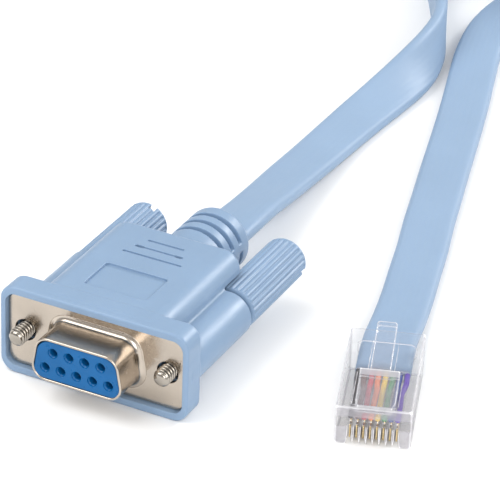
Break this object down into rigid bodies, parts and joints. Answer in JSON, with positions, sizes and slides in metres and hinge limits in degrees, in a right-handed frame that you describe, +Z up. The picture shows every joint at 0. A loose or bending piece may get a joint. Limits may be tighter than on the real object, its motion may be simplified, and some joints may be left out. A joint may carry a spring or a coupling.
{
  "type": "rj45 console cable",
  "caption": "Flat console cable from a nine-way D socket in a moulded hood with thumbscrews to a clear modular plug with a spring latch.",
  "frame": {"origin": "on the floor under the middle of the socket's hood, half way along its reach from the mating rim to the boot's end", "axes": "+X right across the socket, +Y from the mating face back towards the cable, +Z up, seen with the five-hole row below"},
  "size_m": [0.0949, 0.2761, 0.0192],
  "materials": {
    "hood_plastic": "pale blue moulded vinyl, satin",
    "plated_steel": "nickel-plated drawn steel",
    "insulator_plastic": "strong blue moulded thermoplastic",
    "contact_metal": "gold-plated contact metal",
    "screw_steel": "nickel-plated turned steel",
    "clear_plastic": "clear moulded polycarbonate",
    "wire_black": "black wire insulation",
    "wire_brown": "brown wire insulation",
    "wire_red": "red wire insulation",
    "wire_orange": "orange wire insulation",
    "wire_yellow": "yellow wire insulation",
    "wire_green": "green wire insulation",
    "wire_blue": "blue wire insulation",
    "wire_purple": "purple wire insulation",
    "cable_jacket": "pale blue flat vinyl jacket, satin",
    "tie_plastic": "black ribbed tie strap"
  },
  "bodies": {
    "cable_assembly": {"hood": "hood_plastic", "socket_shell": "plated_steel", "insulator": "insulator_plastic", "socket_contact_1": "contact_metal", "socket_contact_2": "contact_metal", "socket_contact_3": "contact_metal", "socket_contact_4": "contact_metal", "socket_contact_5": "contact_metal", "socket_contact_6": "contact_metal", "socket_contact_7": "contact_metal", "socket_contact_8": "contact_metal", "socket_contact_9": "contact_metal", "plug_body": "clear_plastic", "plug_contact_1": "contact_metal", "plug_contact_2": "contact_metal", "plug_contact_3": "contact_metal", "plug_contact_4": "contact_metal", "plug_contact_5": "contact_metal", "plug_contact_6": "contact_metal", "plug_contact_7": "contact_metal", "plug_contact_8": "contact_metal", "wire_black": "wire_black", "wire_brown": "wire_brown", "wire_red": "wire_red", "wire_orange": "wire_orange", "wire_yellow": "wire_yellow", "wire_green": "wire_green", "wire_blue": "wire_blue", "wire_purple": "wire_purple", "cable_hood_stretch": "cable_jacket", "cable_coil": "cable_jacket", "cable_plug_stretch": "cable_jacket", "coil_tie_1": "tie_plastic", "coil_tie_2": "tie_plastic"},
    "thumbscrew_left": {"thumbscrew_knob_left": "hood_plastic", "thumbscrew_screw_left": "screw_steel"},
    "thumbscrew_right": {"thumbscrew_knob_right": "hood_plastic", "thumbscrew_screw_right": "screw_steel"},
    "latch": {"plug_latch": "clear_plastic"}
  },
  "joints": [
    {"name": "thumbscrew_left_turn", "type": "hinge", "parent": "cable_assembly", "child": "thumbscrew_left", "pos_m": [-0.01249, 0, 0.0077], "axis": [0, 1, 0], "continuous": true},
    {"name": "thumbscrew_right_turn", "type": "hinge", "parent": "cable_assembly", "child": "thumbscrew_right", "pos_m": [0.01249, 0, 0.0077], "axis": [0, 1, 0], "continuous": true},
    {"name": "latch_press", "type": "hinge", "parent": "cable_assembly", "child": "latch", "pos_m": [0.04317, -0.00861, 0.006], "axis": [0.9438, 0.3305, 0], "range_deg": [-7, 0], "stiffness_Nm_per_rad": 0.05}
  ]
}
